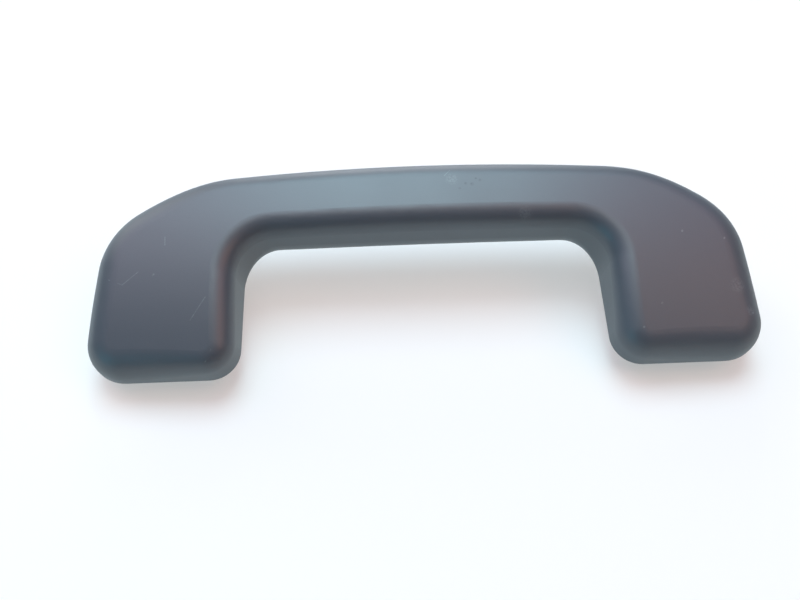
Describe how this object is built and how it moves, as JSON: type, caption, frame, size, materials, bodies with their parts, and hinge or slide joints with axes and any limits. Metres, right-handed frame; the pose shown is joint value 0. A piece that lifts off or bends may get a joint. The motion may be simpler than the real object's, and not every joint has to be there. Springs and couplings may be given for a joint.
{
  "type": "roof grab handle",
  "caption": "U-shaped roof grab handle for a car: a one-piece grip whose hollow ends fold on hinge brackets, with a return spring and a rotary damper.",
  "frame": {"origin": "midpoint between the two screw holes, on the plane of the brackets' mounting faces", "axes": "+X along the grip, +Y from the hinge towards the bar, +Z out of the mounting plane towards the hand"},
  "size_m": [0.2234, 0.0688, 0.0415],
  "materials": {
    "grip_moulding": "soft-touch charcoal with a fine even grain",
    "bracket_nylon": "black glass-filled nylon, faintly mottled",
    "pin_steel": "drawn steel, fine lines along the pin",
    "spring_steel": "oiled spring wire",
    "damper_acetal": "black acetal, smooth",
    "rotor_acetal": "natural acetal, smooth",
    "seal_rubber": "greased black rubber",
    "sleeve_steel": "zinc-plated, slightly yellow",
    "cover_moulding": "charcoal moulding with a fine grain",
    "buffer_rubber": "soft black rubber, dull"
  },
  "bodies": {
    "roof_mounts": {"left_hinge_bracket": "bracket_nylon", "right_hinge_bracket": "bracket_nylon", "left_screw_sleeve": "sleeve_steel", "right_screw_sleeve": "sleeve_steel", "left_screw_cover": "cover_moulding", "right_screw_cover": "cover_moulding", "left_stop_buffer": "buffer_rubber", "right_stop_buffer": "buffer_rubber", "return_spring": "spring_steel", "damper_housing": "damper_acetal", "damper_seal": "seal_rubber", "damper_cap": "damper_acetal"},
    "grip": {"grip": "grip_moulding", "left_hinge_pin": "pin_steel", "right_hinge_pin": "pin_steel", "damper_rotor": "rotor_acetal"}
  },
  "joints": [
    {"name": "grip_fold", "type": "hinge", "parent": "roof_mounts", "child": "grip", "pos_m": [0, -0.02316, 0.0139], "axis": [1, 0, 0], "range_deg": [0, 95], "stiffness_Nm_per_rad": 0.08, "springref_deg": -68.75, "deforming": ["return_spring"]}
  ]
}
